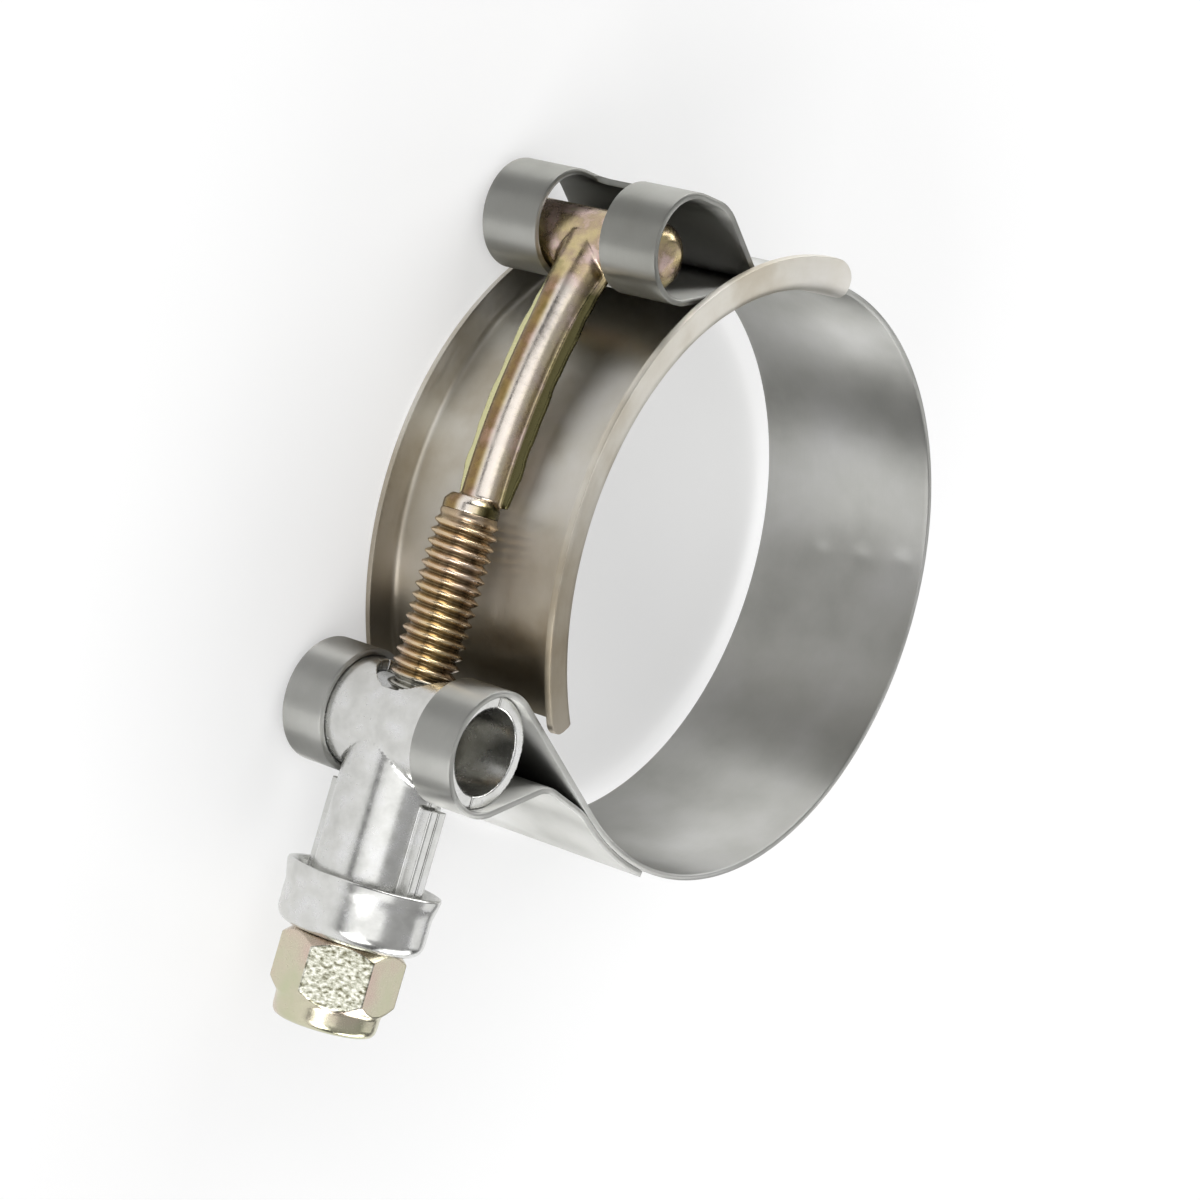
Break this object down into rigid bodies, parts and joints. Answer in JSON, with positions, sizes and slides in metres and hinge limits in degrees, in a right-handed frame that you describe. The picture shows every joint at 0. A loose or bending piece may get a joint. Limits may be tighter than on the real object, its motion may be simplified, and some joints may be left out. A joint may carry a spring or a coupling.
{
  "type": "t bolt clamp",
  "caption": "Heavy-duty T-bolt hose clamp: a flat steel strap with spot-welded loops, an inner bridge, a T-head bolt, a pivot and a locking nut.",
  "frame": {"origin": "centre of the hose bore at the middle of the strap's width", "axes": "+Z along the hose bore, thread of the bolt parallel to Y with the nut towards -Y, bolt on the -X side"},
  "size_m": [0.0674, 0.0803, 0.0222],
  "materials": {
    "strap_steel": "satin stainless sheet",
    "pivot_steel": "satin pressed steel",
    "yellow_zinc": "yellow passivated zinc",
    "nut_zinc": "pale yellow passivated zinc",
    "nylon": "white nylon"
  },
  "bodies": {
    "root": {"band": "strap_steel", "bridge": "strap_steel"},
    "trunnion": {"trunnion_outer_shell": "pivot_steel", "trunnion_inner_shell": "pivot_steel"},
    "bolt": {"t_bolt": "yellow_zinc"},
    "cup": {"end_cup": "pivot_steel"},
    "nut": {"lock_nut": "nut_zinc", "nylon_insert": "nylon"}
  },
  "joints": [
    {"name": "trunnion_swivel", "type": "hinge", "parent": "root", "child": "trunnion", "pos_m": [-0.0319, -0.02085, 0], "axis": [0, 0, 1], "range_deg": [-1.49, 1.49]},
    {"name": "bolt_swing", "type": "hinge", "parent": "root", "child": "bolt", "pos_m": [-0.02486, 0.02541, 0], "axis": [0, 0, 1], "range_deg": [-0.248, 0.248]},
    {"name": "cup_travel", "type": "slide", "parent": "bolt", "child": "cup", "axis": [0, -1, 0], "range_m": [0, 0.003]},
    {"name": "nut_turn", "type": "hinge", "parent": "cup", "child": "nut", "pos_m": [-0.0319, -0.0445, 0], "axis": [0, 1, 0], "range_deg": [0, 1080]}
  ],
  "couplings": [
    {"joint": "bolt_swing", "follows": "trunnion_swivel", "ratio": 0.16589},
    {"joint": "nut_turn", "follows": "cup_travel", "rad_per_m": 6283.2}
  ]
}
